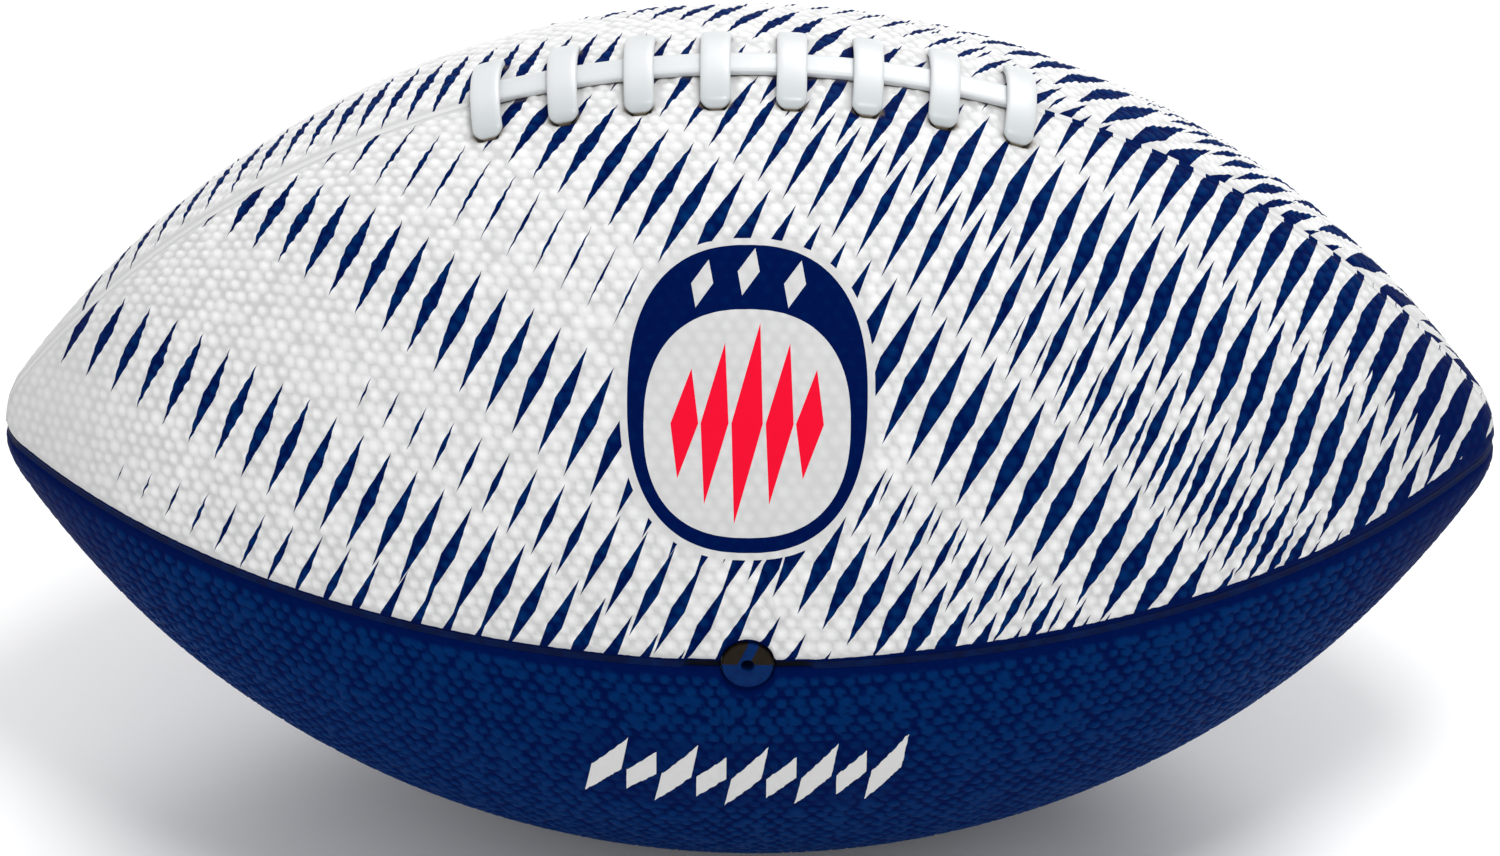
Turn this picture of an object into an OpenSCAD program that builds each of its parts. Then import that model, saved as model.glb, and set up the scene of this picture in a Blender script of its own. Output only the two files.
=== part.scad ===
// Junior moulded-rubber American football.
// The long axis runs along X, the laces face +Z and the valve faces -Y.
// The origin is the centre of the ball.
// Every shell of the ball is the same outline at its own depth below the surface.

/* [Ball] */
// Length from tip to tip
ball_len = 265; // [255:1:275]
// Diameter at the belly
ball_dia = 150.5; // [146:0.5:156]
// Radius of the blunt nose at each tip
nose_r = 15.7; // [13:0.1:18]

/* [Cover] */
// Thickness of the rubber cover panels
cover_t = 2.1; // [1.9:0.1:2.6]
// Width of the channel between two panels
seam_w = 1.2; // [0.8:0.1:1.8]
// Depth of the channel left open above the seam strip
seam_depth = 0.8; // [0.5:0.1:1.1]

/* [Inside] */
// Thickness of the wound nylon layer
carcass_t = 0.4; // [0.3:0.1:0.6]
// Thickness of the bladder wall
bladder_t = 0.7; // [0.6:0.1:1.2]

/* [Laces] */
// Number of laces across the slit
lace_count = 8; // [8:1:8]
// Distance from one lace to the next, along the ball
lace_pitch = 13.2; // [12.5:0.1:13.8]
// Width of a lace
lace_w = 5.3; // [4.5:0.1:6]
// Thickness of a lace
lace_t = 1.7; // [1.4:0.1:1.9]
// Distance from the seam to the outer face of a lace where it enters the cover
lace_reach = 12; // [11.4:0.1:12.6]
// Width of the run that lies under the laces
run_w = 5.4; // [4:0.1:5.6]
// Thickness of the run
run_t = 1.6; // [1.3:0.1:1.8]
// Length of the run, over its bent ends
run_len = 99; // [98:0.5:102]
// Thickness of the pad under the laces
pad_t = 0.7; // [0.5:0.1:0.9]
// Length of the pad
pad_len = 122; // [118:1:130]
// Width of the pad
pad_w = 31; // [28:1:36]

/* [Valve] */
// Diameter of the valve head in the cover
valve_head_d = 8.9; // [8:0.1:10]
// Width of the open ring round the valve head
valve_ring = 0.55; // [0.4:0.05:0.8]
// Diameter of the hole for an inflating needle
needle_d = 2.3; // [2.1:0.1:2.6]
// Length of that hole, down to the plug
needle_hole_len = 5; // [4:0.5:6]
// Diameter of the flange inside the bladder
flange_d = 27; // [22:1:32]
// Thickness of the flange
flange_t = 1.2; // [1:0.1:1.6]
// Length of the whole valve along its axis
valve_len = 15; // [14:0.5:18]
// Diameter of the self-sealing plug
plug_d = 5; // [4.5:0.1:5.5]
// Length of the plug
plug_len = 7; // [5:0.5:8]

/* [Hidden] */
$fn = 96;

// The outline: one long arc for the side, rounded off by a small arc at each tip.
// Both arcs share a tangent where they meet.
half_len = ball_len / 2;
belly_r = ball_dia / 2;
nose_c = half_len - nose_r;
side_r = (nose_c ^ 2 + belly_r ^ 2 - nose_r ^ 2) / (2 * (belly_r - nose_r));
side_c = side_r - belly_r;

// How far two pieces of one solid run into each other where they join
lap = 0.05;

// Depths below the surface
pad_depth = cover_t - pad_t;
carcass_depth = cover_t + carcass_t;
bladder_depth = carcass_depth + bladder_t;
flange_depth = bladder_depth + flange_t;

// The arch of a lace: a long arc over the run, and a short bend down into a hole at each end.
// leg_drop is how far the ball's round side falls away between the slit and the leg.
run_gap = 0.1;
bend_in_r = 0.65;
bend_r = lace_t / 2 + bend_in_r;
arch_angle = 25.4;
arch_top = run_t + run_gap + lace_t / 2;
leg_y = lace_reach - lace_t / 2;
leg_drop = belly_r - sqrt(belly_r ^ 2 - leg_y ^ 2);
arch_half = leg_y - bend_r * (1 - sin(arch_angle));
arch_r = arch_half / sin(arch_angle);
leg_top = arch_top - arch_r * (1 - cos(arch_angle)) - bend_r * cos(arch_angle);
leg_len = leg_top + pad_depth + leg_drop + lap;
leg_w = 4.6;
arch_steps = 6;
bend_steps = 4;
ring_steps = 7;

// The run follows the side arc, and bends down at each end
run_mid_r = side_r + run_t / 2;
run_angle = asin((run_len / 2 - run_t / 2 - bend_r) / run_mid_r);
run_leg_len = run_t / 2 + pad_depth - bend_r;
run_lap = 0.5;

// Room round a leg in its hole, and how deep a hole is cut each way
hole_room_w = 0.4;
hole_room_t = 0.5;
slot_deep = 8;

white = [0.88, 0.88, 0.88];
navy = [0.02, 0.13, 0.33];
lace_white = [0.9, 0.92, 0.92];
black_rubber = [0.08, 0.07, 0.07];
valve_brown = [0.14, 0.1, 0.07];
nylon = [0.82, 0.78, 0.66];
canvas = [0.45, 0.42, 0.38];
far = 2 * ball_len;

// ---- shared shapes ----

// Where the side arc meets the nose arc, measured along the ball
function joint_x(depth) = nose_c * (side_r - depth) / (side_r - nose_r);

// Half of the ball's outline: the axis of the ball is the Y axis here.
// The nose starts a hair inside the side, so that the two are one piece.
module half_outline(depth) {
    meet = joint_x(depth);
    intersection() {
        translate([-side_c, 0]) circle(r = side_r - depth);
        translate([0, -meet]) square([ball_dia, 2 * meet]);
    }
    for (end = [0, 1]) mirror([0, end, 0]) intersection() {
        translate([0, nose_c]) circle(r = nose_r - depth);
        translate([0, meet - lap]) square([nose_r, nose_r]);
    }
}

module ball_solid(depth) rotate([0, 90, 0]) rotate_extrude() half_outline(depth);

module shell(outer, inner) {
    difference() {
        ball_solid(outer);
        ball_solid(inner);
    }
}

// A rounded bar's section: thick along X, wide along Y
module strap_section(width, thick) {
    side = (width - thick) / 2;
    square([thick, width - thick], center = true);
    translate([0, side]) circle(d = thick);
    translate([0, -side]) circle(d = thick);
}

// A stretch of strap that starts level at the origin, heads along +Y and curves down.
// The children are placed where it ends, heading the way it heads there.
module strap_arc(radius, angle, width, thick) {
    translate([0, 0, -radius]) rotate([90, 0, 90]) rotate([0, 0, 90 - angle])
        rotate_extrude(angle = angle) translate([radius, 0]) strap_section(width, thick);
    translate([0, 0, -radius]) rotate([-angle, 0, 0]) translate([0, 0, radius]) children();
}

// A straight stretch of strap along +Y
module strap_leg(length, width, thick)
    rotate([-90, 0, 0]) linear_extrude(length) rotate([0, 0, 90]) strap_section(width, thick);

// Moves what is built at the middle of the lace slit to an angle along the side arc
module along_side(angle) translate([0, 0, -side_c]) rotate([0, angle, 0]) translate([0, 0, side_r]) children();

function lace_angle(i) = asin((i - (lace_count + 1) / 2) * lace_pitch / side_r);

// ---- holes in the cover ----

// A hole with round ends, its long side along Y
module slot_prism(long, short) {
    translate([0, 0, -slot_deep]) linear_extrude(2 * slot_deep) {
        square([short, long - short], center = true);
        for (end = [-1, 1]) translate([0, end * (long - short) / 2]) circle(d = short);
    }
}

// The holes for one lace, on one side of the slit
module lace_holes(side) {
    for (i = [1:lace_count])
        along_side(lace_angle(i)) translate([0, side * (leg_y + hole_room_t / 2), 0])
            rotate([0, 0, 90]) slot_prism(lace_w + 2 * hole_room_w, lace_t + 2 * hole_room_t);
}

// The holes for the two ends of the run, across the slit
module run_holes() {
    for (end = [-1, 1])
        along_side(end * run_angle) translate([end * (bend_r + hole_room_t / 2), 0, 0])
            slot_prism(run_w + 2 * hole_room_w, run_t + 2 * hole_room_t);
}

module valve_hole(room)
    translate([0, -belly_r / 2, 0]) rotate([90, 0, 0]) cylinder(d = valve_head_d + 2 * room, h = belly_r);

// The pocket behind the slit that holds the pad
module pad_prism() {
    r = pad_w / 4;
    linear_extrude(belly_r * 2) {
        square([pad_len, pad_w - 2 * r], center = true);
        square([pad_len - 2 * r, pad_w], center = true);
        for (x = [-1, 1], y = [-1, 1])
            translate([x * (pad_len / 2 - r), y * (pad_w / 2 - r)]) circle(r);
    }
}

// ---- inside ----

module bladder() color(black_rubber) difference() {
    shell(carcass_depth, bladder_depth);
    valve_hole(0);
}

module wound_carcass() color(nylon) difference() {
    shell(cover_t, carcass_depth);
    valve_hole(0);
}

// The head and stem, moulded in one with a flange that backs the bladder wall
module valve_body() color(valve_brown) difference() {
    union() {
        translate([0, -belly_r, 0]) rotate([-90, 0, 0]) cylinder(d = valve_head_d, h = valve_len);
        intersection() {
            shell(bladder_depth, flange_depth);
            translate([0, -belly_r / 2, 0]) rotate([90, 0, 0]) cylinder(d = flange_d, h = belly_r);
        }
    }
    translate([0, -belly_r, 0]) rotate([-90, 0, 0]) translate([0, 0, -1])
        cylinder(d = needle_d, h = needle_hole_len + 1.5);
    translate([0, -belly_r + needle_hole_len, 0]) rotate([-90, 0, 0]) cylinder(d = plug_d, h = valve_len);
}

// The soft plug: a flat slit along it closes on the needle's way
module valve_plug() color(black_rubber) difference() {
    slit_t = 0.2;
    translate([0, -belly_r + needle_hole_len, 0]) rotate([-90, 0, 0]) cylinder(d = plug_d, h = plug_len);
    translate([-needle_d / 2, -belly_r, -slit_t / 2]) cube([needle_d, belly_r, slit_t]);
}

// ---- cover ----

// One quarter of the cover. front is -1 for the -Y side, up is 1 for the lace side.
module cover_quarter(front, up) {
    intersection() {
        shell(0, cover_t);
        translate([-far / 2, front > 0 ? seam_w / 2 : -far, up > 0 ? seam_w / 2 : -far])
            cube([far, far - seam_w / 2, far - seam_w / 2]);
    }
}

module upper_panel(front) {
    difference() {
        cover_quarter(front, 1);
        lace_holes(front);
        run_holes();
        intersection() {
            shell(pad_depth, cover_t + 1);
            pad_prism();
        }
        if (front < 0) valve_hole(valve_ring);
    }
}

module upper_front_panel() color(white) upper_panel(-1);

module upper_back_panel() color(white) upper_panel(1);

module lower_front_panel() color(navy) difference() {
    cover_quarter(-1, -1);
    valve_hole(valve_ring);
}

module lower_back_panel() color(navy) cover_quarter(1, -1);

// ---- strips at the bottom of the channels ----

// A strip in the XZ plane, above from_z and between two places along the ball
module strip(from_x, to_x, from_z) {
    intersection() {
        shell(seam_depth, cover_t);
        translate([from_x, -seam_w / 2, from_z]) cube([to_x - from_x, seam_w, far]);
    }
}

// The lace slit lies between these two strips, and their outer ends close the crossing at each tip
module lace_seam_strip_left() color(white) strip(-far, -pad_len / 2, -seam_w / 2);

module lace_seam_strip_right() color(white) strip(pad_len / 2, far, -seam_w / 2);

module bottom_seam_strip() color(navy) rotate([180, 0, 0]) strip(-far, far, seam_w / 2);

module front_seam_strip_left() color(navy) difference() {
    rotate([90, 0, 0]) strip(-far, 0, seam_w / 2);
    valve_hole(valve_ring);
}

module front_seam_strip_right() color(navy) difference() {
    rotate([90, 0, 0]) strip(0, far, seam_w / 2);
    valve_hole(valve_ring);
}

module back_seam_strip() color(navy) rotate([-90, 0, 0]) strip(-far, far, seam_w / 2);

// ---- laces ----

module lace_pad() color(canvas) intersection() {
    shell(pad_depth, cover_t);
    pad_prism();
}

// Half of a lace's path, from its crown to the end of its leg: each stop is [y, z, slope, width]
half_path = [
    for (k = [0:arch_steps]) let (a = arch_angle * k / arch_steps)
        [arch_r * sin(a), arch_top - arch_r * (1 - cos(a)), a, lace_w],
    for (k = [1:bend_steps]) let (a = arch_angle + (90 - arch_angle) * k / bend_steps)
        [leg_y - bend_r * (1 - sin(a)), leg_top + bend_r * cos(a), a, lace_w - (lace_w - leg_w) * k / bend_steps],
    [leg_y, leg_top - leg_len, 90, leg_w]
];
path_stops = len(half_path);
lace_path = [
    for (k = [path_stops - 1:-1:1]) let (stop = half_path[k]) [-stop[0], stop[1], -stop[2], stop[3]],
    for (stop = half_path) stop
];

// Points round the section at one stop: two half circles joined by flats
function lace_ring(stop) = [
    for (end = [1, -1], k = [0:ring_steps]) let (
        turn = 90 - 180 * k / ring_steps,
        across = end * ((stop[3] - lace_t) / 2 + lace_t / 2 * cos(turn)),
        out = end * lace_t / 2 * sin(turn)
    ) [across, stop[0] + out * sin(stop[2]), stop[1] + out * cos(stop[2])]
];

module lace(i) color(lace_white) along_side(lace_angle(i)) {
    n = 2 * (ring_steps + 1);
    rings = len(lace_path);
    polyhedron(
        points = [for (stop = lace_path) each lace_ring(stop)],
        faces = [
            [for (j = [0:n - 1]) j],
            for (k = [0:rings - 2], j = [0:n - 1])
                [k * n + j, (k + 1) * n + j, (k + 1) * n + (j + 1) % n, k * n + (j + 1) % n],
            [for (j = [n - 1:-1:0]) (rings - 1) * n + j]
        ]
    );
}

// The run lies along the slit, under the laces, and goes down a hole at each end. Its halves overlap
// in the middle.
module lace_run() color(lace_white) translate([0, 0, -side_c])
    for (end = [-90, 90]) rotate([0, 0, end]) rotate([run_lap, 0, 0]) translate([0, 0, run_mid_r])
        strap_arc(run_mid_r, run_angle + run_lap, run_w, run_t)
            strap_arc(bend_r, 90, run_w, run_t)
                strap_leg(run_leg_len, run_w, run_t);

bladder();
valve_body();
valve_plug();
wound_carcass();
upper_front_panel();
upper_back_panel();
lower_front_panel();
lower_back_panel();
lace_seam_strip_left();
lace_seam_strip_right();
front_seam_strip_left();
front_seam_strip_right();
bottom_seam_strip();
back_seam_strip();
lace_pad();
lace_run();
for (i = [1:lace_count]) {
    lace(i);
}
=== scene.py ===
"""Looks of the junior American football: pebbled printed cover, laces, valve and seams.

Lengths are in millimetres and become metres where a mesh is made. X runs along the ball,
the laces face +Z and the valve faces -Y.
"""

import math
from typing import NamedTuple

import bpy
import numpy as np
from mathutils import Matrix, Vector


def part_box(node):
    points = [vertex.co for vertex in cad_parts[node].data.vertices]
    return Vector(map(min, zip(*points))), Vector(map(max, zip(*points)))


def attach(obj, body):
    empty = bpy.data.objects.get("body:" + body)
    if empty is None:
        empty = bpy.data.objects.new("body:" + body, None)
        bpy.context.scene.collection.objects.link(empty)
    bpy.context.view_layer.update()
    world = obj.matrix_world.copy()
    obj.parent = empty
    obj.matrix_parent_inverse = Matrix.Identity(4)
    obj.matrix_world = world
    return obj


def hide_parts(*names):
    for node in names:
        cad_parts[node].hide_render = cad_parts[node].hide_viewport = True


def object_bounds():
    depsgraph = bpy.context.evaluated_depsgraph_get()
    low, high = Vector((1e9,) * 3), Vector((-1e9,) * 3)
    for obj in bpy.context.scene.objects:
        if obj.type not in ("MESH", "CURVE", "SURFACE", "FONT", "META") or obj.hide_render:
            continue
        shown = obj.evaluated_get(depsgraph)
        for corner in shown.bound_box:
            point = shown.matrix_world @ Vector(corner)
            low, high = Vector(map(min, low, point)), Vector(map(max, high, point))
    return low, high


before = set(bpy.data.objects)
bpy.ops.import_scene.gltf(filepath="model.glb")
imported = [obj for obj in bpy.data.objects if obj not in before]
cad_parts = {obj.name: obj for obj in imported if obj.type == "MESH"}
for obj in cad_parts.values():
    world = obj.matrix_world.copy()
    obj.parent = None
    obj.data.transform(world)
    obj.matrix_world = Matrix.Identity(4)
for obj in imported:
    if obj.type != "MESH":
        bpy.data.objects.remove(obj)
cad_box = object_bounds()
MM = 0.001

# ---- sizes that drive the visual meshes ----

half_len = cad_box[1].x / MM
belly_r = -cad_box[0].y / MM
nose_r = 15.7
cover_t = 2.1
seam_w = 1.2

# Laces, and the long run of lace beneath them
lace_count = sum(name.startswith("lace_") and name[5:].isdigit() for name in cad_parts)
lace_pitch = 13.2
lace_w = 5.3
lace_t = 1.7
lace_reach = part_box("lace_4")[1].y / MM
lace_leg = lace_reach - lace_t / 2
arch_angle = math.radians(25.4)
bend_r = lace_t / 2 + 0.65
run_w = 5.4
run_swell = 0.8
run_t = 1.6
run_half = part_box("lace_run")[1].x / MM
leg_deep = 1.0

# Pockets in the cover that the laces and the run's ends turn down into: half their size along and
# across the slit, and the radius of their corners
pocket_deep = 1.5
lace_pocket = (1.8, 1.05, 0.9)
run_pocket = (1.6, run_w / 2, 1.0)

# Valve, with the narrow gap round its head
valve_r = 4.45
valve_ring = 0.3
needle_r = 1.15
needle_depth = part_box("valve_plug")[0].y / MM + belly_r

# Pebbles, the steps of the cover's grid, and the shallow valleys along the seams
pebble_pitch = 2.9
pebble_row = 2.2
pebble_r = 1.45
pebble_high = 0.4
grid_step = 0.70
fine_step = 0.3
valley_deep = 0.4
valley_wide = 0.75
lace_valley_deep = 0.1
lace_valley_wide = 0.6

# The outline: one long arc for the side and a small one for each nose
nose_c = half_len - nose_r
side_r = (nose_c ** 2 + belly_r ** 2 - nose_r ** 2) / (2 * (belly_r - nose_r))
side_c = side_r - belly_r
join_angle = math.asin(nose_c / (side_r - nose_r))
side_len = side_r * join_angle
pole = side_len + nose_r * (math.pi / 2 - join_angle)

random_table = np.random.default_rng(11).random((4, 256, 256))


# ---- where things are on the ball ----

def outline(along):
    """Distance along X, radius and outward tilt of the surface at an arc length from the middle."""
    reach = np.abs(along)
    on_side = reach < side_len
    tilt = np.where(on_side, reach / side_r, join_angle + (reach - side_len) / nose_r)
    x = np.where(on_side, side_r * np.sin(tilt), nose_c + nose_r * np.sin(tilt))
    radius = np.where(on_side, side_r * np.cos(tilt) - side_c, nose_r * np.cos(tilt))
    return np.sign(along) * x, radius, np.sign(along) * tilt


def on_ball(along, around, out, first, second):
    """Points at a height above the surface. around is the angle from direction first towards second."""
    x, radius, tilt = outline(along)
    ring = radius + out * np.cos(tilt)
    across = ring * np.cos(around)
    up = ring * np.sin(around)
    points = np.outer(across.ravel(), first) + np.outer(up.ravel(), second)
    points[:, 0] += (x + out * np.sin(tilt)).ravel()
    return points


def spaced(start, end, step, zones=()):
    """Places from start to end, closer together inside each zone (from, to, step)."""
    places = [start]
    while places[-1] < end:
        here = places[-1]
        places.append(here + min([step] + [fine for low, high, fine in zones if low <= here < high]))
    places = np.array(places)
    return start + (places - start) * (end - start) / (places[-1] - start)


def smooth(value, low, high):
    """0 below low, 1 above high, and a smooth rise between them."""
    t = np.clip((value - low) / (high - low), 0, 1)
    return t * t * (3 - 2 * t)


def beside_valve(along):
    """1 on the front seam beside the valve, fading to 0 between 10 and 12 mm from its middle."""
    return smooth(-np.abs(along), -12.0, -10.0)


def lace_places():
    """The arc lengths along the side at which the laces cross the slit."""
    middle = (lace_count - 1) / 2
    return [side_r * math.asin((i - middle) * lace_pitch / side_r) for i in range(lace_count)]


# ---- meshes ----

def make_piece(name, points, faces, material, stands_for, attributes=None):
    """A smooth-shaded mesh that rides on the ball in place of the CAD nodes it stands for."""
    mesh = bpy.data.meshes.new(name)
    mesh.from_pydata((np.asarray(points) * MM).tolist(), [], faces)
    mesh.shade_smooth()
    for label, values in (attributes or {}).items():
        layer = mesh.attributes.new(label, "FLOAT", "POINT")
        layer.data.foreach_set("value", np.asarray(values, np.float32).ravel())
    mesh.materials.append(material)
    mesh.validate()
    piece = bpy.data.objects.new(name, mesh)
    bpy.context.scene.collection.objects.link(piece)
    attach(piece, "root")
    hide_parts(*stands_for)
    return piece


def grid_faces(rows, columns, first=0, flip=False):
    """Quads over a grid of points that are numbered row by row."""
    r, c = np.meshgrid(np.arange(rows - 1), np.arange(columns - 1), indexing="ij")
    corner = (first + r * columns + c).ravel()
    quads = np.stack([corner, corner + 1, corner + columns + 1, corner + columns], 1)
    return (quads[:, ::-1] if flip else quads).tolist()


def shell_faces(rows, outer_width, inner_width, flip=False):
    """Faces of a closed shell: an outer grid, then an inner grid with as many rows, and their rims."""
    start_inner = rows * outer_width
    faces = grid_faces(rows, outer_width, 0, flip)
    faces += grid_faces(rows, inner_width, start_inner, not flip)
    rims = []
    for row in range(rows - 1):
        outer_a = row * outer_width
        outer_b = outer_a + outer_width
        inner_a = start_inner + row * inner_width
        inner_b = inner_a + inner_width
        rims.append([outer_a, outer_b, inner_b, inner_a])
        far_outer = outer_width - 1
        far_inner = inner_width - 1
        rims.append([outer_a + far_outer, inner_a + far_inner, inner_b + far_inner, outer_b + far_outer])
    for row in (0, rows - 1):
        outer = [row * outer_width + k for k in range(outer_width)]
        inner = [start_inner + row * inner_width + k for k in range(inner_width)]
        cap = outer + inner[::-1]
        rims.append(cap if row else cap[::-1])
    return faces + [rim[::-1] if flip else rim for rim in rims]


def sweep_faces(rings, sides):
    """Quads along a swept section, and a cap at each end."""
    faces = []
    for ring in range(rings - 1):
        for side in range(sides):
            after = (side + 1) % sides
            here, there = ring * sides, (ring + 1) * sides
            faces.append([here + side, there + side, there + after, here + after])
    faces.append(list(range(sides)))
    faces.append(list(range((rings - 1) * sides, rings * sides))[::-1])
    return faces


# ---- shader maths ----

class Field:
    """A number that varies over a surface. Ordinary arithmetic on it adds Math nodes to the material."""

    def __init__(self, tree, socket):
        self.tree = tree
        self.socket = socket

    def math(self, kind, *others):
        node = self.tree.nodes.new("ShaderNodeMath")
        node.operation = kind
        for place, value in enumerate((self,) + others):
            if isinstance(value, Field):
                self.tree.links.new(value.socket, node.inputs[place])
            else:
                node.inputs[place].default_value = value
        return Field(self.tree, node.outputs[0])

    def __add__(self, other):
        return self.math("ADD", other)

    def __sub__(self, other):
        return self.math("SUBTRACT", other)

    def __mul__(self, other):
        return self.math("MULTIPLY", other)

    def __truediv__(self, other):
        return self.math("DIVIDE", other)

    def __abs__(self):
        return self.math("ABSOLUTE")

    def below(self, limit):
        return self.math("LESS_THAN", limit)

    def above(self, limit):
        return self.math("GREATER_THAN", limit)

    def either(self, other):
        return self.math("MAXIMUM", other)

    def both(self, other):
        return self.math("MINIMUM", other)

    def ramp(self, low, high, from_value=0.0, to_value=1.0):
        """from_value below low, to_value above high, and a straight rise between them."""
        node = self.tree.nodes.new("ShaderNodeMapRange")
        self.tree.links.new(self.socket, node.inputs["Value"])
        node.inputs["From Min"].default_value = low
        node.inputs["From Max"].default_value = high
        node.inputs["To Min"].default_value = from_value
        node.inputs["To Max"].default_value = to_value
        return Field(self.tree, node.outputs[0])


class Finish:
    """A procedural material with one Principled shader, and short ways to reach what it is made from."""

    def __init__(self, name, roughness):
        self.material = bpy.data.materials.new(name)
        self.material.use_nodes = True
        self.tree = self.material.node_tree
        self.shader = self.tree.nodes["Principled BSDF"]
        self.shader.inputs["Roughness"].default_value = roughness
        coordinates = self.tree.nodes.new("ShaderNodeTexCoord")
        self.place = coordinates.outputs["Object"]

    def attribute(self, name):
        node = self.tree.nodes.new("ShaderNodeAttribute")
        node.attribute_name = name
        return Field(self.tree, node.outputs["Fac"])

    def axes(self):
        """x, y and z of the surface point, in millimetres."""
        node = self.tree.nodes.new("ShaderNodeSeparateXYZ")
        self.tree.links.new(self.place, node.inputs[0])
        return [Field(self.tree, node.outputs[axis]) * 1000 for axis in range(3)]

    def noise(self, size, detail=2.0):
        """Soft noise around 0.5 whose blobs are about size millimetres across."""
        node = self.tree.nodes.new("ShaderNodeTexNoise")
        node.inputs["Scale"].default_value = 1 / (size * MM)
        node.inputs["Detail"].default_value = detail
        self.tree.links.new(self.place, node.inputs["Vector"])
        return Field(self.tree, node.outputs["Fac"])

    def colour(self, rgb):
        node = self.tree.nodes.new("ShaderNodeRGB")
        node.outputs[0].default_value = (*rgb, 1)
        return node.outputs[0]

    def mix(self, amount, low, high):
        """A colour that goes from low to high as amount goes from 0 to 1."""
        node = self.tree.nodes.new("ShaderNodeMix")
        node.data_type = "RGBA"
        self.tree.links.new(amount.socket, node.inputs["Factor"])
        for place, value in ((6, low), (7, high)):
            source = self.colour(value) if isinstance(value, tuple) else value
            self.tree.links.new(source, node.inputs[place])
        return node.outputs[2]

    def paint(self, colour, roughness=None, bump=None, bump_high=0.05, strength=1.0):
        """Joins up the shader: its colour, and where given its roughness and a height in millimetres."""
        self.tree.links.new(colour, self.shader.inputs["Base Color"])
        if roughness is not None:
            self.tree.links.new(roughness.socket, self.shader.inputs["Roughness"])
        if bump is not None:
            node = self.tree.nodes.new("ShaderNodeBump")
            node.inputs["Strength"].default_value = strength
            node.inputs["Distance"].default_value = bump_high * MM
            self.tree.links.new(bump.socket, node.inputs["Height"])
            self.tree.links.new(node.outputs[0], self.shader.inputs["Normal"])
        return self.material


# ---- colours, as linear RGB ----

WHITE = (0.70, 0.70, 0.70)
# Darker white: painted shade in the pebbles' valleys, and random cloudy tone
WHITE_TONE_AND_PAINTED_SHADE = (0.53, 0.53, 0.535)
# Lighter white: painted highlight on the pebbles' tops
WHITE_PAINTED_HIGHLIGHT = (0.90, 0.90, 0.90)
NAVY = (0.0004, 0.0055, 0.058)
# Lighter navy: painted highlight on the pebbles' tops, and random flecks here and on the valve
NAVY_SPECK_AND_PAINTED_HIGHLIGHT = (0.0008, 0.030, 0.135)
BADGE_RED = (0.80, 0.006, 0.03)
MOTIF_WHITE = (0.66, 0.66, 0.655)
SHINE = (0.05, 0.35, 1.0)
# Brown for painted shade, with some dirt, where the laces and the run meet the cover
SHADE_AND_DIRT_BROWN = (0.16, 0.13, 0.09)
SEAM_NAVY = (0.0004, 0.004, 0.035)
SEAM_DUST = (0.001, 0.012, 0.07)
# Black painted shade in the seam groove beside the valve
SEAM_PAINTED_SHADE = (0.002, 0.002, 0.003)
LACE_WHITE = (0.61, 0.63, 0.64)
# Painted shade on the laces towards their legs, and random tone
LACE_TONE_AND_PAINTED_SHADE = (0.46, 0.50, 0.51)
VALVE_BROWN = (0.010, 0.0075, 0.005)
VALVE_DUST = (0.022, 0.016, 0.010)
BLACK_RUBBER = (0.012, 0.012, 0.013)
TALC = (0.07, 0.07, 0.068)
NYLON = (0.60, 0.54, 0.38)
CANVAS = (0.17, 0.14, 0.11)
CANVAS_DARK = (0.08, 0.065, 0.05)
FLOOR_LOW = (0.93, 0.93, 0.93)
FLOOR_HIGH = (0.95, 0.95, 0.95)


# ---- the print on the upper panels ----

class Row(NamedTuple):
    """A row of spindles, which falls to the right across a panel. Lengths are in millimetres."""
    cross: float  # how far above the panel's middle line the row is, half-way along the ball
    fall: float  # how steeply it falls
    start: float  # where one of its spindles is, along the ball
    pitch: float  # how far apart its spindles are
    grow_from: float  # its first spindle, and the start of the stretch over which they grow
    grow_to: float  # the end of that stretch
    thin: float  # half a spindle's width at the start of the stretch
    wide: float  # and at its end
    short: float  # half a spindle's length at the start of the stretch
    long: float  # and at its end
    lean: float  # how far the spindles lean to the right
    skew: float  # how far their short diagonal slopes
    stop: float = 150  # where the row stops


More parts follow.
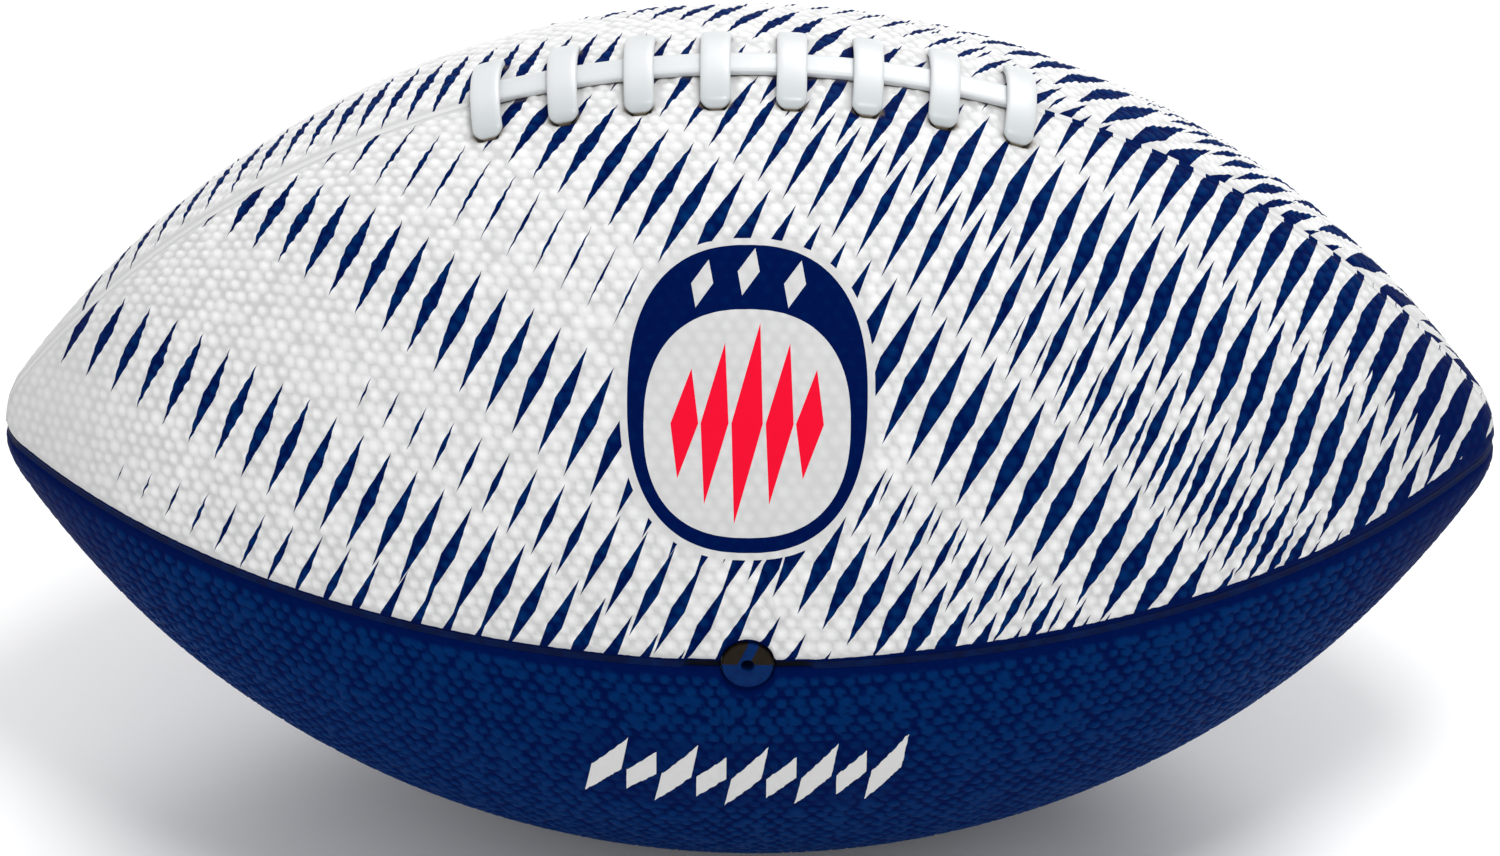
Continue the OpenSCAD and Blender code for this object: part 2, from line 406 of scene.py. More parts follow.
SPINDLE_ROWS = (
    Row(-90.0, 0.675, -96.0, 4.50, -112, -60, 0.1, 1.2, 1.4, 9.0, 0.48, 0.3),
    Row(-76.0, 0.76, -94.3, 4.507, -119.5, -30, 1.3, 1.5, 7.3, 9.0, 0.48, 0.3),
    Row(-56.7, 0.745, -52.9, 4.45, -68, -10, 0.2, 1.4, 2.5, 9.0, 0.48, 0.3),
    Row(-36.5, 0.81, -69.3, 4.485, -95, -20, 1.45, 1.55, 8.3, 9.4, 0.46, 0.3, stop=8),
    Row(-31.0, 0.66, 21.3, 4.40, -4, 40, 1.55, 1.85, 8.4, 10.0, 0.46, 0.3),
    Row(-9.2, 0.80, -44.0, 4.45, -75, 8, 0.65, 0.05, 8.5, 4.0, 0.46, 0.3, stop=5),
    Row(-13.4, 0.70, 29.1, 4.32, 2, 60, 0.5, 1.1, 5.0, 9.0, 0.50, 0.8),
    Row(15.9, 0.784, 41.1, 4.375, -45, 40, 1.4, 1.9, 10.2, 11.6, 0.49, 0.15),
    Row(44.2, 0.80, 52.95, 4.40, -25, 20, 1.05, 1.15, 8.6, 10.8, 0.455, 1.0),
    Row(63.5, 0.741, 53.8, 4.466, 2, 80, 1.35, 1.85, 11.2, 13.4, 0.40, 1.2),
    Row(104.5, 0.83, 79.6, 4.35, 40, 80, 1.55, 1.8, 16.5, 16.5, 0.38, 1.0),
    Row(37.2, 0.75, 58.6, 4.40, 42, 80, 0.15, 0.75, 3.5, 8.0, 0.46, 0.8),
    Row(-7.8, 0.74, 32.05, 4.36, 12, 60, 0.2, 0.45, 2.5, 4.5, 0.44, 0.5),
    Row(92.5, 0.77, 98.0, 4.30, 92, 120, 0.3, 0.8, 3.0, 7.0, 0.50, 0.8),
    Row(135.0, 0.90, 97.0, 4.30, 92, 120, 0.8, 1.0, 9.0, 9.0, 0.40, 0.8),
)
# The back panel has two full rows of long spindles where the front has five rows
BACK_ROWS = (
    Row(-65.0, 0.46, -80.0, 4.30, -118, -45, 0.9, 1.35, 8.0, 12.0, 0.30, 0.3),
    Row(-36.5, 0.81, -69.3, 4.485, -95, -20, 1.45, 1.55, 8.3, 9.4, 0.46, 0.3),
) + SPINDLE_ROWS[5:]
# How much closer together the spindles get with each millimetre to the right
PITCH_SHRINK = 0.0003
# 2 would make the badge's outline an ellipse; more gives it shoulders
OVAL_POWER = 2.4


def spindle_row(x, q, row):
    """1 inside the spindles of one row, and 0 outside them."""
    lie = 1 + row.lean * row.fall
    foot = (x - (q - row.cross) * row.lean) / lie
    count = (foot * PITCH_SHRINK + 1) * foot / row.pitch
    count = count - row.start / row.pitch * (1 + PITCH_SHRINK * row.start)
    off = count - count.math("ROUND")
    sideways = off * (row.pitch * lie) / (foot * (2 * PITCH_SHRINK) + 1)
    centre = foot - sideways / lie
    lengthways = q - row.cross + centre * row.fall + sideways * row.skew
    width = centre.ramp(row.grow_from, row.grow_to, row.thin, row.wide)
    length = centre.ramp(row.grow_from, row.grow_to, row.short, row.long)
    inside = (abs(sideways) / width + abs(lengthways) / length).below(1.0)
    return inside * centre.above(row.grow_from) * centre.below(row.stop)


def rhombus(x, q, centre_x, centre_q, half_w, half_h, lean=0.0):
    """1 inside a slanted rhombus."""
    up = q - centre_q
    side = x - centre_x - up * lean
    return (abs(side) / half_w + abs(up) / half_h).below(1.0)


def oval(x, q, centre_x, centre_q, half_w, half_h):
    """1 inside an upright oval with full shoulders."""
    side = abs((x - centre_x) / half_w).math("POWER", OVAL_POWER)
    up = abs((q - centre_q) / half_h).math("POWER", OVAL_POWER)
    return (side + up).below(1.0)


# ---- the badge and the motif, which stand in for the marks on such a ball ----

BADGE_AT = (-0.5, -10.0)
BADGE_HALF = (22.0, 28.5)
BADGE_RIM = 1.3
BADGE_LEAN = 0.12
# The white field in the badge lies low, and leaves room above it for three slivers
FIELD_AT = (BADGE_AT[0], BADGE_AT[1] - 4.6)
FIELD_HALF = (BADGE_HALF[0] - 4.2, BADGE_HALF[1] - 8.6)
# Stripes beside the middle one: how far away they are, and half their length
SIDE_STRIPES = ((5.6, 14.0), (10.8, 9.5))
MOTIF_Q = 31.5
MOTIF_PITCH = 6.1
MOTIF_LEAN = 0.42
MOTIF_HALF_W = 2.6
MOTIF_HALF = (32.0, 11.5)


def badge_field(x, q):
    """Distance from the badge's centre: 1 on its rim."""
    side = np.abs((x - BADGE_AT[0]) / BADGE_HALF[0]) ** OVAL_POWER
    up = np.abs((q - BADGE_AT[1]) / BADGE_HALF[1]) ** OVAL_POWER
    return (side + up) ** (1 / OVAL_POWER)


def motif_field(x, q):
    """Below 1 on the patch that the motif is printed on."""
    return np.maximum(np.abs(x) / MOTIF_HALF[0], np.abs(q - MOTIF_Q) / MOTIF_HALF[1])


def badge_ink(x, q, ink):
    """The navy print once the badge's rim and cap are on it: 1 on ink and 0 on white."""
    outer = oval(x, q, *BADGE_AT, *BADGE_HALF)
    ring = oval(x, q, *BADGE_AT, BADGE_HALF[0] - BADGE_RIM, BADGE_HALF[1] - BADGE_RIM)
    field = oval(x, q, *FIELD_AT, *FIELD_HALF)
    ink = (ink * (outer * -1 + 1)).either(ring * (field * -1 + 1))
    for across in (-1, 0, 1):
        sliver = rhombus(x, q, BADGE_AT[0] + 8.0 * across, 12.2 - abs(across) * 2.2, 1.9, 4.4, 0.25)
        ink = ink * (sliver * -1 + 1)
    return ink


def badge_stripes(x, q):
    """1 on the red stripes in the badge."""
    stripes = rhombus(x, q, *FIELD_AT, 2.7, 17.5, BADGE_LEAN)
    for side in (-1, 1):
        for away, half_h in SIDE_STRIPES:
            stripe = rhombus(x, q, FIELD_AT[0] + side * away, FIELD_AT[1], 2.4, half_h, BADGE_LEAN)
            stripes = stripes.either(stripe)
    return stripes


def motif_slivers(x, q):
    """1 on the nine white slivers of the motif, long and short by turns."""
    slivers = rhombus(x, q, 0.0, MOTIF_Q, MOTIF_HALF_W, 9.0, MOTIF_LEAN)
    for count in range(1, 5):
        half_h = 9.0 if count % 2 == 0 else 6.2
        for side in (-1, 1):
            centre_x = side * count * MOTIF_PITCH
            sliver = rhombus(x, q, centre_x, MOTIF_Q, MOTIF_HALF_W, half_h, MOTIF_LEAN)
            slivers = slivers.either(sliver)
    return slivers


# ---- materials ----

def cover_finish(name, rows=(), badge=False, motif=False):
    """Pebbled satin rubber: white with rows of navy spindles, or navy all over where rows is empty."""
    finish = Finish(name, 0.5)
    finish.shader.inputs["Specular IOR Level"].default_value = 0.008
    finish.shader.inputs["Specular Tint"].default_value = (*SHINE, 1)
    x = finish.attribute("print_x")
    q = finish.attribute("print_q")
    from_seam = finish.attribute("from_seam")
    pebble = finish.attribute("pebble")
    painted_shade = finish.attribute("painted_shade")
    cloud = finish.noise(22, 3)
    speck = finish.noise(1.4, 3)
    grain = finish.noise(0.35, 2)

    # Painted highlight: the navy is lighter on the pebbles' tops, and flecked at random
    navy = finish.mix(pebble.ramp(0.1, 1.0) * 0.65 + (speck - 0.5) * 0.3, NAVY, NAVY_SPECK_AND_PAINTED_HIGHLIGHT)
    if rows:
        ink = spindle_row(x, q, rows[0])
        for row in rows[1:]:
            ink = ink.either(spindle_row(x, q, row))
        # The navy edge along the front and back seams widens to the right
        margin = x.ramp(5, 35, 1.1, 2.1) + x.ramp(100, 125, 0.0, 2.0) + (speck - 0.5) * 0.5
        ink = ink.either((from_seam - margin).below(0.0))
        # Painted shade: the white gets darker towards the valleys between the pebbles, mixed with cloudy
        # tone
        ground = finish.mix(pebble.ramp(0.0, 0.45) * 0.8 + cloud * 0.2, WHITE_TONE_AND_PAINTED_SHADE, WHITE)
        # Painted highlight: the pebbles' tops are painted lighter
        ground = finish.mix(pebble.ramp(0.5, 1.05) * 0.55, ground, WHITE_PAINTED_HIGHLIGHT)
        if badge:
            ink = badge_ink(x, q, ink)
        colour = finish.mix(ink, ground, navy)
        if badge:
            colour = finish.mix(badge_stripes(x, q), colour, BADGE_RED)
    else:
        colour = navy
        if motif:
            colour = finish.mix(motif_slivers(x, q), colour, MOTIF_WHITE)
    # Painted shade, brown with dirt, round the laces' ends, the run's ends and under the run
    colour = finish.mix(painted_shade.both(1.0), colour, SHADE_AND_DIRT_BROWN)
    rough = pebble * -0.07 + 0.5 + (cloud - 0.5) * 0.16
    return finish.paint(colour, rough, grain, 0.03, 0.6)


def seam_finish():
    """Smooth navy rubber at the bottom of the seams, dusty, and painted black as shade in the groove
    beside the valve.
    """
    finish = Finish("seam_rubber_look", 0.62)
    finish.shader.inputs["Specular IOR Level"].default_value = 0.05
    dust = finish.noise(3.0, 4)
    grain = finish.noise(0.4, 2)
    colour = finish.mix(dust.ramp(0.4, 0.75), SEAM_NAVY, SEAM_DUST)
    # Painted shade: black in the groove beside the valve
    colour = finish.mix(finish.attribute("painted_shade") * 0.9, colour, SEAM_PAINTED_SHADE)
    return finish.paint(colour, dust.ramp(0.3, 0.7, 0.55, 0.72), grain, 0.03, 0.5)


def lace_finish():
    """Soft white vinyl, with painted shade that darkens it and makes it a little bluer towards where it
    bends down, and brown painted shade where it turns down into the cover.
    """
    finish = Finish("lace_vinyl_look", 0.36)
    painted_shade = finish.attribute("painted_shade")
    shade = finish.attribute("shade")
    cloud = finish.noise(6, 3)
    grain = finish.noise(0.5, 3)
    # Painted shade: darker towards the legs, mixed with random cloudy tone
    clean = finish.mix(shade * 0.8 + (cloud - 0.5) * 0.35, LACE_WHITE, LACE_TONE_AND_PAINTED_SHADE)
    # Painted shade, in brown, where the strap turns down into the cover
    colour = finish.mix((painted_shade * 1.3 + (grain - 0.5) * 0.5 * painted_shade).both(1.0), clean, SHADE_AND_DIRT_BROWN)
    return finish.paint(colour, cloud.ramp(0.3, 0.7, 0.30, 0.44), grain, 0.02, 0.5)


def valve_finish():
    """Bare dark brown rubber above, and the navy of the lower panels below, with one printed bar."""
    finish = Finish("valve_rubber_look", 0.5)
    finish.shader.inputs["Specular IOR Level"].default_value = 0.04
    x, _, z = finish.axes()
    grain = finish.noise(0.5, 3)
    speck = finish.noise(1.2, 3)
    bar = (abs(x - z * 0.45 + 0.9) - 1.0).below(0.0)
    printed = z.below(0.35).either(bar)
    rubber = finish.mix(speck, VALVE_BROWN, VALVE_DUST)
    navy = finish.mix(speck, NAVY, NAVY_SPECK_AND_PAINTED_HIGHLIGHT)
    colour = finish.mix(printed, rubber, navy)
    return finish.paint(colour, speck.ramp(0.3, 0.7, 0.42, 0.6), grain, 0.03, 0.6)


def bladder_finish():
    """Dull black bladder rubber with talc on it."""
    finish = Finish("bladder_rubber_look", 0.7)
    talc = finish.noise(4, 5)
    grain = finish.noise(0.6, 2)
    colour = finish.mix(talc.ramp(0.45, 0.8), BLACK_RUBBER, TALC)
    return finish.paint(colour, talc.ramp(0.3, 0.8, 0.6, 0.85), grain, 0.05, 0.6)


def wound_finish(name, dark, light, wide, tall):
    """Crossing threads set in latex, or woven canvas: two families of ridges."""
    finish = Finish(name, 0.75)
    x, y, z = finish.axes()
    one = ((x + y * 0.6 + z * 0.3) / wide).math("SINE")
    two = ((x - y * 0.6 - z * 0.3) / wide).math("SINE")
    weave = one.either(two)
    dirt = finish.noise(8, 3)
    colour = finish.mix(weave.ramp(-0.2, 1.0) * 0.8 + dirt * 0.2, dark, light)
    return finish.paint(colour, dirt.ramp(0.3, 0.7, 0.65, 0.85), weave, tall, 0.8)


# ---- the cover panels ----

def pebbles(along, across):
    """Height of the pebbles moulded in the cover, about 0 to 1, in rows that are a little uneven."""
    height = np.zeros_like(along)
    row_here = np.floor(across / pebble_row)
    for row_step in (-1, 0, 1):
        row = row_here + row_step
        shift = (row % 2) * 0.5
        column_here = np.floor(along / pebble_pitch - shift)
        for column_step in (-1, 0, 1):
            column = column_here + column_step
            key = (column.astype(int) % 256, row.astype(int) % 256)
            off_along = (random_table[0][key] - 0.5) * 0.8
            off_across = (random_table[1][key] - 0.5) * 0.5
            size = 0.78 + 0.42 * random_table[2][key]
            centre_along = (column + 0.5 + shift) * pebble_pitch + off_along
            centre_across = (row + 0.5) * pebble_row + off_across
            far = np.hypot(along - centre_along, across - centre_across) / (pebble_r * size)
            dome = np.clip(1 - far ** 2, 0, 1) ** 1.4 * (0.8 + 0.4 * random_table[3][key])
            height = np.maximum(height, dome)
    return height


def slot_distance(along, off_slit, place, centre, half_along, half_across, corner):
    """Distance outside a rectangle with round corners on the cover; negative inside it."""
    past_along = np.abs(along - place) - (half_along - corner)
    past_across = np.abs(off_slit - centre) - (half_across - corner)
    inside = np.minimum(np.maximum(past_along, past_across), 0)
    return np.hypot(np.maximum(past_along, 0), np.maximum(past_across, 0)) + inside - corner


def lace_marks(place, off_slit):
    """What the laces do to an upper panel: how deep it sinks, how pebbly it stays, and its painted shade,
    brown with dirt, round the ends of the laces and the run and under the run.
    """
    sink = np.zeros_like(place)
    calm = np.ones_like(place)
    painted_shade = np.zeros_like(place)
    for lace_at in lace_places():
        away = slot_distance(place, off_slit, lace_at, lace_leg, *lace_pocket)
        sink = np.maximum(sink, pocket_deep * (1 - smooth(away, -0.3, 0.3)))
        edge = slot_distance(place, off_slit, lace_at, 0.0, lace_w / 2, lace_reach, 1.9)
        calm *= smooth(edge, 0.4, 1.8)
        # Painted shadow: a dark line round each lace's end where it turns down into the cover
        near_end = smooth(off_slit, lace_reach - 3.2, lace_reach - 0.8)
        painted_shade = np.maximum(painted_shade, 0.9 * near_end * (1 - smooth(edge, 0.05, 0.55)))
    for end in (-1, 1):
        edge = slot_distance(place, off_slit, end * (run_half - 1.5), 0.0, *run_pocket)
        sink = np.maximum(sink, pocket_deep * (1 - smooth(edge, -0.3, 0.3)))
        calm *= smooth(edge, 0.4, 1.8)
        # Painted shade where the run's end turns down into its pocket
        painted_shade = np.maximum(painted_shade, 0.8 * (1 - smooth(edge, 0.0, 0.6)))
    # Painted shadow under the edges of the run
    under_run = smooth(-off_slit, -3.7, -2.7) * smooth(-np.abs(place), -run_half, 1 - run_half)
    return sink, calm, np.maximum(painted_shade, 0.5 * under_run)


def panel(name, front, upper, material):
    """One quarter of the cover: a dense pebbled outer face, its edges, and a plain inner face."""
    side = np.array([0.0, -1.0 if front else 1.0, 0.0])
    ridge = np.array([0.0, 0.0, 1.0 if upper else -1.0])
    last = pole - nose_r * math.asin(seam_w / nose_r)

    # The grid is finer along the seams, beside the valve and where the laces end
    zones = [(-7.0, 7.0, fine_step)] if front else []
    along = spaced(-last, last, grid_step, zones)
    _, radius, _ = outline(along)
    quarter = belly_r * math.pi / 2
    rows = [(0, 1.6, fine_step), (quarter - 1.6, quarter, fine_step)]
    if upper:
        rows.append((quarter - 14.0, quarter - 9.2, 0.4))
    share = spaced(0, quarter, grid_step, rows) / quarter

    # The panel stops at the seams, and goes round the valve
    edge_gap = np.full_like(along, seam_w / 2)
    if front:
        hole = valve_r + valve_ring
        edge_gap = np.maximum(edge_gap, np.sqrt(np.maximum(hole ** 2 - along ** 2, 0)))
    first = np.arcsin(edge_gap / radius)
    final = math.pi / 2 - np.arcsin(seam_w / 2 / radius)
    turn = first[:, None] + share[None, :] * (final - first)[:, None]
    place = np.repeat(along[:, None], len(share), 1)
    ring = np.repeat(radius[:, None], len(share), 1)

    to_side = ring * (turn - first[:, None])
    to_ridge = ring * (final[:, None] - turn)
    off_slit = ring * (math.pi / 2 - turn)
    across = ring * (turn - math.pi / 4)
    print_x = outline(place)[0]
    print_q = across if (front and upper) else -across

    # Rows of pebbles follow the front and back seams on the lower panels, and fan out on the upper
    follow = 0.5 if upper else 1.0
    bead = pebbles(place, across + follow * math.pi / 4 * ring)
    if not upper:
        bead = smooth(bead, 0.0, 0.62)

    # calm is 1 on open cover and falls where the pebbles fade out
    calm = smooth(to_side, 0.9, 2.4) * smooth(to_ridge, 0.6, 2.2)
    calm *= 1 - 0.65 * smooth(np.abs(place), 105, 140)
    if front and upper:
        calm *= 0.25 + 0.75 * smooth(badge_field(print_x, print_q), 0.98, 1.06)
    if front and not upper:
        calm *= 0.6 + 0.4 * smooth(motif_field(print_x, print_q), 0.75, 1.0)
    if front:
        calm *= smooth(np.hypot(place, ring * np.sin(turn)), 4.9, 6.2)

    ridge_deep = lace_valley_deep if upper else valley_deep
    ridge_wide = lace_valley_wide if upper else valley_wide
    sink = valley_deep * np.exp(-((to_side / valley_wide) ** 2))
    sink = np.maximum(sink, ridge_deep * np.exp(-((to_ridge / ridge_wide) ** 2)))
    if front:
        sink += 0.5 * beside_valve(place) * np.exp(-((to_side / 0.9) ** 2))
    # Painted shade round the lace and run ends and under the run comes from lace_marks
    painted_shade = np.zeros_like(place)
    if upper:
        lace_sink, lace_calm, painted_shade = lace_marks(place, off_slit)
        sink = np.maximum(sink, lace_sink)
        calm *= lace_calm
    bead = bead * calm
    outer = on_ball(place, turn, pebble_high * bead - sink, side, ridge)

    # The inner face is coarse across, and has the outer face's steps along the ball
    inner_width = 12
    inner_share = np.linspace(0, 1, inner_width)
    inner_turn = first[:, None] + inner_share[None, :] * (final - first)[:, None]
    inner_place = np.repeat(along[:, None], inner_width, 1)
    inner = on_ball(inner_place, inner_turn, np.full_like(inner_turn, -cover_t), side, ridge)
    faces = shell_faces(len(along), len(share), inner_width, flip=front == upper)

    def with_inner(values):
        """Values for every point: the outer face's own, and 0 inside."""
        return np.concatenate([values.ravel(), np.zeros(inner_place.size)])

    attributes = {
        "print_x": np.concatenate([print_x.ravel(), outline(inner_place)[0].ravel()]),
        "print_q": with_inner(print_q),
        "from_seam": with_inner(to_side + seam_w / 2),
        "pebble": with_inner(bead),
        "painted_shade": with_inner(painted_shade),
    }
    points = np.concatenate([outer, inner])
    return make_piece(f"{name}_moulded", points, faces, material, [name], attributes)


# ---- the seams ----

def seam_strip(name, direction, span, material, depth=valley_deep, inked=False):
    """A shallow, rounded valley floor along a seam, from the span's start to its end."""
    direction = np.array(direction, float)
    sideways = np.cross([1.0, 0.0, 0.0], direction)
    profile_w = np.array([-0.72, -0.5, -0.25, 0.0, 0.25, 0.5, 0.72])
    profile_h = np.array([0.10, 0.03, -0.02, -0.04, -0.02, 0.03, 0.10])
    width = len(profile_w)
    along = spaced(*span, 1.0)
    _, radius, _ = outline(along)
    place = np.repeat(along[:, None], width, 1)
    turn = np.arcsin(np.clip(profile_w[None, :] / radius[:, None], -0.99, 0.99))

    # The front strips lie deeper beside the valve, and are painted dark there as shade in the groove
    beside = beside_valve(along) * (direction[1] < 0)
    top = -depth - 0.03 - 0.7 * beside[:, None] + profile_h[None, :]
    bottom = np.full(place.shape, 0.8 - cover_t)
    points = [on_ball(place, turn, out, direction, sideways) for out in (top, bottom)]
    faces = shell_faces(len(along), width, width)
    count = 2 * place.size
    print_q = np.repeat(radius * math.pi / 4, width)
    attributes = {
        "print_x": np.tile(outline(place)[0].ravel(), 2) if inked else np.full(count, -half_len),
        "print_q": np.tile(print_q, 2),
        "from_seam": np.full(count, 20.0),
        "pebble": np.full(count, 0.3),
        # Painted shade in the groove beside the valve
        "painted_shade": np.tile(np.repeat(beside, width), 2),
    }
    points = np.concatenate(points)
    return make_piece(f"{name}_moulded", points, faces, material, [name], attributes)


# ---- the laces ----

def strap_section(sides, width, thick, grooves):
    """Points round a strap's section, flat with round edges: across and up. grooves are along its top."""
    points = []
    for k in range(sides):
        turn = 2 * math.pi * k / sides
        c, s = math.cos(turn), math.sin(turn)
        across = width / 2 * math.copysign(abs(c) ** 0.5, c)
        up = thick / 2 * math.copysign(abs(s) ** 0.6, s)
        share = across / (width / 2)
        if s > 0:
            up -= sum(0.11 * math.exp(-(((share - g) / 0.07) ** 2)) for g in grooves)
        points.append((across, up))
    return np.array(points)


def strap(name, path, frames, widths, thick, grooves, painted_shade, shade, node):
    """A strap swept along its path. frames gives the across and up directions at each stop."""
    sides = 44
    points = []
    for (across_dir, up_dir), centre, width in zip(frames, path, widths):
        section = strap_section(sides, width, thick, grooves)
        points.append(centre + section[:, :1] * across_dir + section[:, 1:] * up_dir)
    attributes = {"painted_shade": np.repeat(painted_shade, sides), "shade": np.repeat(shade, sides)}
    faces = sweep_faces(len(path), sides)
    return make_piece(name, np.concatenate(points), faces, lace_look, [node], attributes)


def lace_path():
    """Across the slit, height and slope of a lace's middle line, from one leg to the other."""
    crown = run_t + 0.1 + lace_t / 2
    arch_r = (lace_leg - bend_r * (1 - math.sin(arch_angle))) / math.sin(arch_angle)
    leg_top = crown - arch_r * (1 - math.cos(arch_angle)) - bend_r * math.cos(arch_angle)
    stops = []
    for k in range(13):
        a = arch_angle * k / 12
        stops.append((arch_r * math.sin(a), crown - arch_r * (1 - math.cos(a)), a))
    for k in range(1, 13):
        a = arch_angle + (math.pi / 2 - arch_angle) * k / 12
        stops.append((lace_leg - bend_r * (1 - math.sin(a)), leg_top + bend_r * math.cos(a), a))
    stops.append((lace_leg, leg_top - leg_deep, math.pi / 2))
    return [(-y, z, -a) for y, z, a in stops[:0:-1]] + stops


def lace(number, at):
    """One lace over the slit, rounded off where it turns down into the cover."""
    tilt = at / side_r
    outward = np.array([math.sin(tilt), 0.0, math.cos(tilt)])
    lengthways = np.array([math.cos(tilt), 0.0, -math.sin(tilt)])
    crosswise = np.array([0.0, 1.0, 0.0])
    foot = np.array([0.0, 0.0, -side_c]) + side_r * outward
    path, frames, widths, painted_shade, shade = [], [], [], [], []
    for y, z, slope in lace_path():
        path.append(foot + y * crosswise + z * outward)
        up = math.sin(slope) * crosswise + math.cos(slope) * outward
        frames.append((lengthways, up))
        bent = max(0.0, (abs(slope) - arch_angle) / (math.pi / 2 - arch_angle))
        widths.append(lace_w * math.sqrt(1 - 0.78 * bent ** 2))
        # Painted shade: brown where the strap turns down into its pocket, and darker towards the legs
        painted_shade.append(smooth(bent, 0.75, 1.0))
        shade.append(smooth(abs(y), 3.0, lace_reach))
    return strap(f"lace_strap_{number}", path, frames, widths, lace_t, (), painted_shade, shade, f"lace_{number}")


def lace_run():
    """The long run under the laces, with two fine grooves, bent down at each end."""
    mid_r = side_r + run_t / 2
    end_tilt = math.asin((run_half - run_t / 2 - bend_r) / mid_r)
    centre = np.array([0.0, 0.0, -side_c])
    across = np.array([0.0, 1.0, 0.0])
    stops = []
    for k in range(91):
        a = end_tilt * (k / 45 - 1)
        outward = np.array([math.sin(a), 0.0, math.cos(a)])
        stops.append((centre + mid_r * outward, outward, 0.0))
    ends = {}
    for end in (-1, 1):
        a = end * end_tilt
        hub = centre + (mid_r - bend_r) * np.array([math.sin(a), 0.0, math.cos(a)])
        bend = []
        for k in range(1, 13):
            b = a + end * math.pi / 2 * k / 12
            outward = np.array([math.sin(b), 0.0, math.cos(b)])
            bend.append((hub + bend_r * outward, outward, k / 12))
        last_point, last_out, _ = bend[-1]
        down = np.array([-math.sin(a), 0.0, -math.cos(a)])
        bend.append((last_point + leg_deep * down, last_out, 1.0))
        ends[end] = bend
    stops = ends[-1][::-1] + stops + ends[1]
    path = [point for point, _, _ in stops]
    frames = [(-across, outward) for _, outward, _ in stops]
    widths = [(run_w + run_swell) * math.sqrt(1 - 0.6 * bent ** 2) for _, _, bent in stops]
    # Painted shade: brown where the ends turn down, and the run a little darker all along, more so at its
    # ends
    painted_shade = [smooth(bent, 0.5, 1.0) for _, _, bent in stops]
    shade = [0.25 + 0.5 * bent for _, _, bent in stops]
    return strap("lace_run_strap", path, frames, widths, run_t, (-0.38, 0.30), painted_shade, shade, "lace_run")


# ---- the valve ----

def turned(name, profile, sides, material, node):
    """A piece turned about the valve's axis. The profile is a closed loop of (radius, y)."""
    points, faces = [], []
    for k in range(sides):
        turn = 2 * math.pi * k / sides
        for radius, y in profile:
            points.append((radius * math.cos(turn), y, radius * math.sin(turn)))
    count = len(profile)
    for k in range(sides):
        here, there = k * count, (k + 1) % sides * count
        for j in range(count):
            after = (j + 1) % count
            faces.append([here + j, here + after, there + after, there + j])
    piece = make_piece(name, points, faces, material, [node])
    piece.data.set_sharp_from_angle(angle=math.radians(40))
    return piece


def rounded(corner, radius, start, end, steps=5):
    """Points on a quarter round between two directions, about a corner's centre, in degrees."""
    turns = [math.radians(start + (end - start) * k / steps) for k in range(steps + 1)]
    return [(corner[0] + radius * math.cos(t), corner[1] + radius * math.sin(t)) for t in turns]


def valve_piece():
    """The valve's head, stem and flange, with the needle hole and the seat of the plug."""
    top = -belly_r + 0.12
    seat = -belly_r + needle_depth
    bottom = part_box("valve_body")[1].y / MM
    flange_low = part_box("bladder")[0].y / MM + 0.75
    flange_r = 13.5
    flange_t = 1.2
    profile = [(needle_r, seat)]
    profile += rounded((needle_r + 0.35, top + 0.35), 0.35, 180, 270)
    profile += [(2.6, top - 0.02)]
    profile += rounded((valve_r - 0.45, top + 0.45), 0.45, 270, 360)
    profile += [(valve_r, flange_low)]
    sag = [flange_r * k / 8 for k in range(3, 9)]
    dip = [(r, belly_r - math.sqrt(belly_r ** 2 - r ** 2)) for r in sag]
    profile += [(r, flange_low + d) for r, d in dip]
    profile += [(r, flange_low + flange_t + d) for r, d in dip[::-1]]
    profile += [(valve_r, flange_low + flange_t + 0.2), (valve_r, bottom - 0.3), (valve_r - 0.3, bottom)]
    profile += [(2.5, bottom), (2.5, seat + 0.001)]
    return turned("valve_moulding", profile, 96, valve_look, "valve_body")


# ---- the scene ----

def floor():
    """A large, plain, pale floor under the ball."""
    half = 6.0
    low = cad_box[0].z
    mesh = bpy.data.meshes.new("floor")
    corners = [(-half, -half, low), (half, -half, low), (half, half, low), (-half, half, low)]
    mesh.from_pydata(corners, [], [(0, 1, 2, 3)])
    finish = Finish("floor_look", 0.9)
    mesh.materials.append(finish.paint(finish.mix(finish.noise(300, 1), FLOOR_LOW, FLOOR_HIGH)))
    piece = bpy.data.objects.new("floor", mesh)
    bpy.context.scene.collection.objects.link(piece)


def soft_light(name, place, size, power):
    """A square area light that points at the ball."""
    data = bpy.data.lights.new(name, "AREA")
    data.size = size
    data.energy = power
    lamp = bpy.data.objects.new(name, data)
    lamp.location = place
    lamp.rotation_euler = (-Vector(place)).to_track_quat("-Z", "Y").to_euler()
    bpy.context.scene.collection.objects.link(lamp)


def studio():
    """A pale room and three soft lights."""
    world = bpy.data.worlds.new("studio")
    world.use_nodes = True
    background = world.node_tree.nodes["Background"]
    background.inputs["Color"].default_value = (1, 1, 1, 1)
    background.inputs["Strength"].default_value = 0.68
    bpy.context.scene.world = world
    soft_light("key", (0.25, -0.45, 1.5), 0.5, 11.5)
    soft_light("fill", (-1.3, -1.4, 0.7), 1.2, 3)
    soft_light("back", (0.4, 1.4, 1.2), 1.0, 16)
    bpy.context.scene.view_settings.view_transform = "Standard"


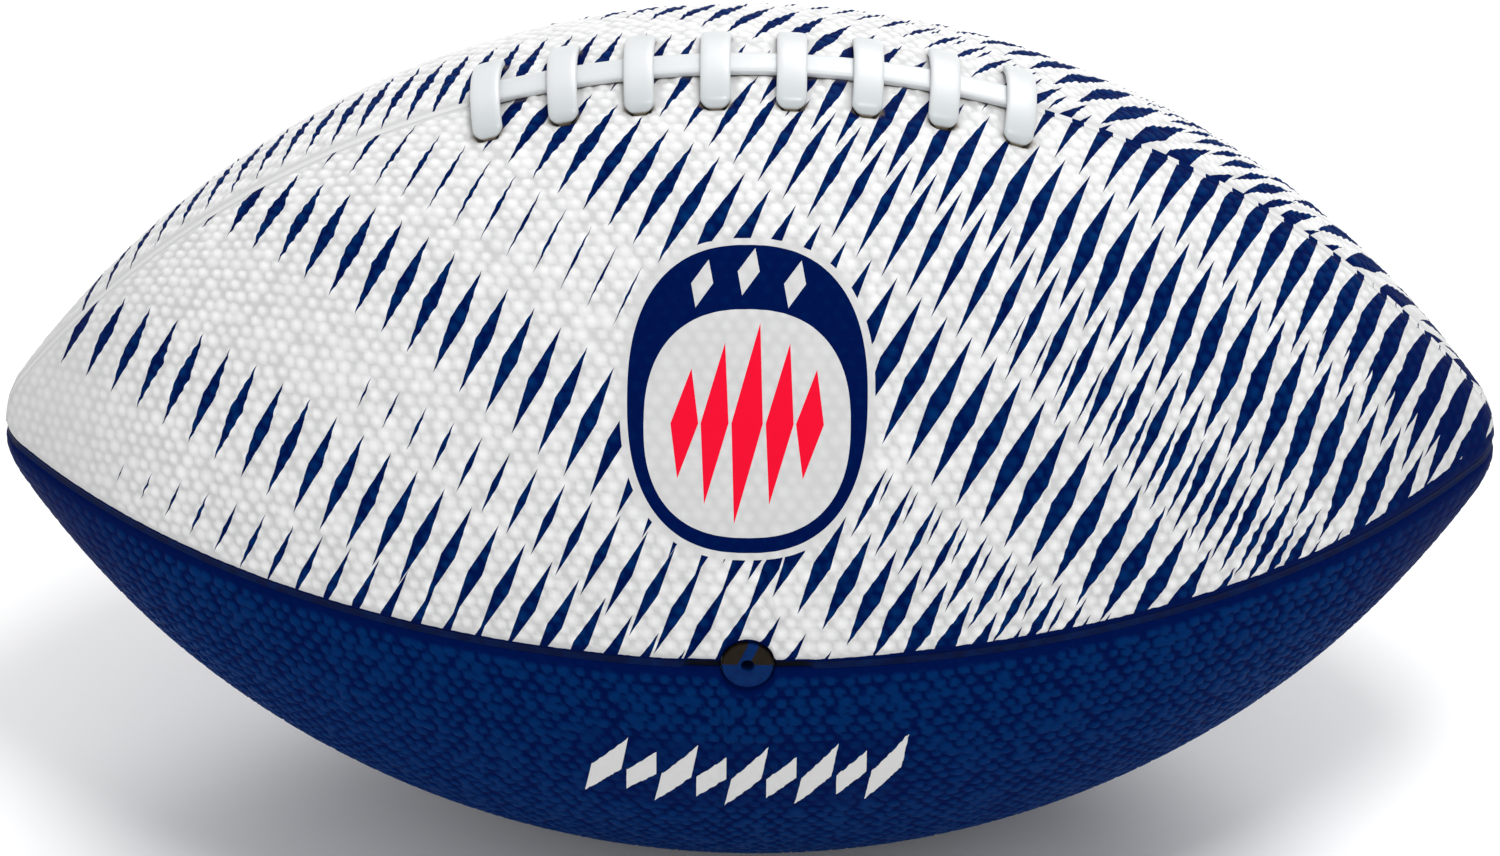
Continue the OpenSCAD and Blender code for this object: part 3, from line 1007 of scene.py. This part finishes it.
def camera():
    """The photograph's view: from the valve side, looking down, with a very long lens."""
    elevation = math.radians(33.3)
    roll = math.radians(0.6)
    distance = 2.2
    data = bpy.data.cameras.new("camera")
    data.lens = 296.7
    data.sensor_width = 36
    data.clip_end = 50
    back = Vector((0, -math.cos(elevation), math.sin(elevation)))
    turn = (-back).to_track_quat("-Z", "Y").to_matrix().to_4x4()
    eye = bpy.data.objects.new("camera", data)
    eye.matrix_world = Matrix.Translation(back * distance) @ turn @ Matrix.Rotation(roll, 4, "Z")
    bpy.context.scene.collection.objects.link(eye)
    bpy.context.scene.camera = eye


def dress(node, material):
    """Gives a CAD node that stays its material."""
    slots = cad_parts[node].data.materials
    slots.clear()
    slots.append(material)


# ---- build ----

lace_look = lace_finish()
valve_look = valve_finish()
seam_look = seam_finish()
printed_front = cover_finish("cover_printed_front", SPINDLE_ROWS, badge=True)
printed_back = cover_finish("cover_printed_back", BACK_ROWS)
navy_front = cover_finish("cover_navy_front", motif=True)
navy_back = cover_finish("cover_navy_back")

panel("upper_front_panel", True, True, printed_front)
panel("upper_back_panel", False, True, printed_back)
panel("lower_front_panel", True, False, navy_front)
panel("lower_back_panel", False, False, navy_back)

tip = pole - 0.5
valve_edge = valve_r + valve_ring - 0.1
slit_along = side_r * math.asin((run_half + 0.4) / side_r)
for where, facing, span in (
    ("front_seam_strip_left", (0, -1, 0), (-tip, -valve_edge)),
    ("front_seam_strip_right", (0, -1, 0), (valve_edge, tip)),
    ("back_seam_strip", (0, 1, 0), (-tip, tip)),
    ("bottom_seam_strip", (0, 0, -1), (-tip, tip)),
):
    seam_strip(where, facing, span, seam_look)
for where, span, inked in (
    ("lace_seam_strip_left", (-tip, -slit_along), False),
    ("lace_seam_strip_right", (slit_along, tip), True),
):
    seam_strip(where, (0, 0, 1), span, printed_front, lace_valley_deep, inked)

for lace_number, lace_at in enumerate(lace_places(), 1):
    lace(lace_number, lace_at)
lace_run()
valve_piece()

bladder_look = bladder_finish()
dress("bladder", bladder_look)
dress("valve_plug", bladder_look)
dress("wound_carcass", wound_finish("nylon_winding_look", CANVAS, NYLON, 0.25, 0.2))
dress("lace_pad", wound_finish("pad_canvas_look", CANVAS_DARK, CANVAS, 0.3, 0.25))

floor()
studio()
camera()
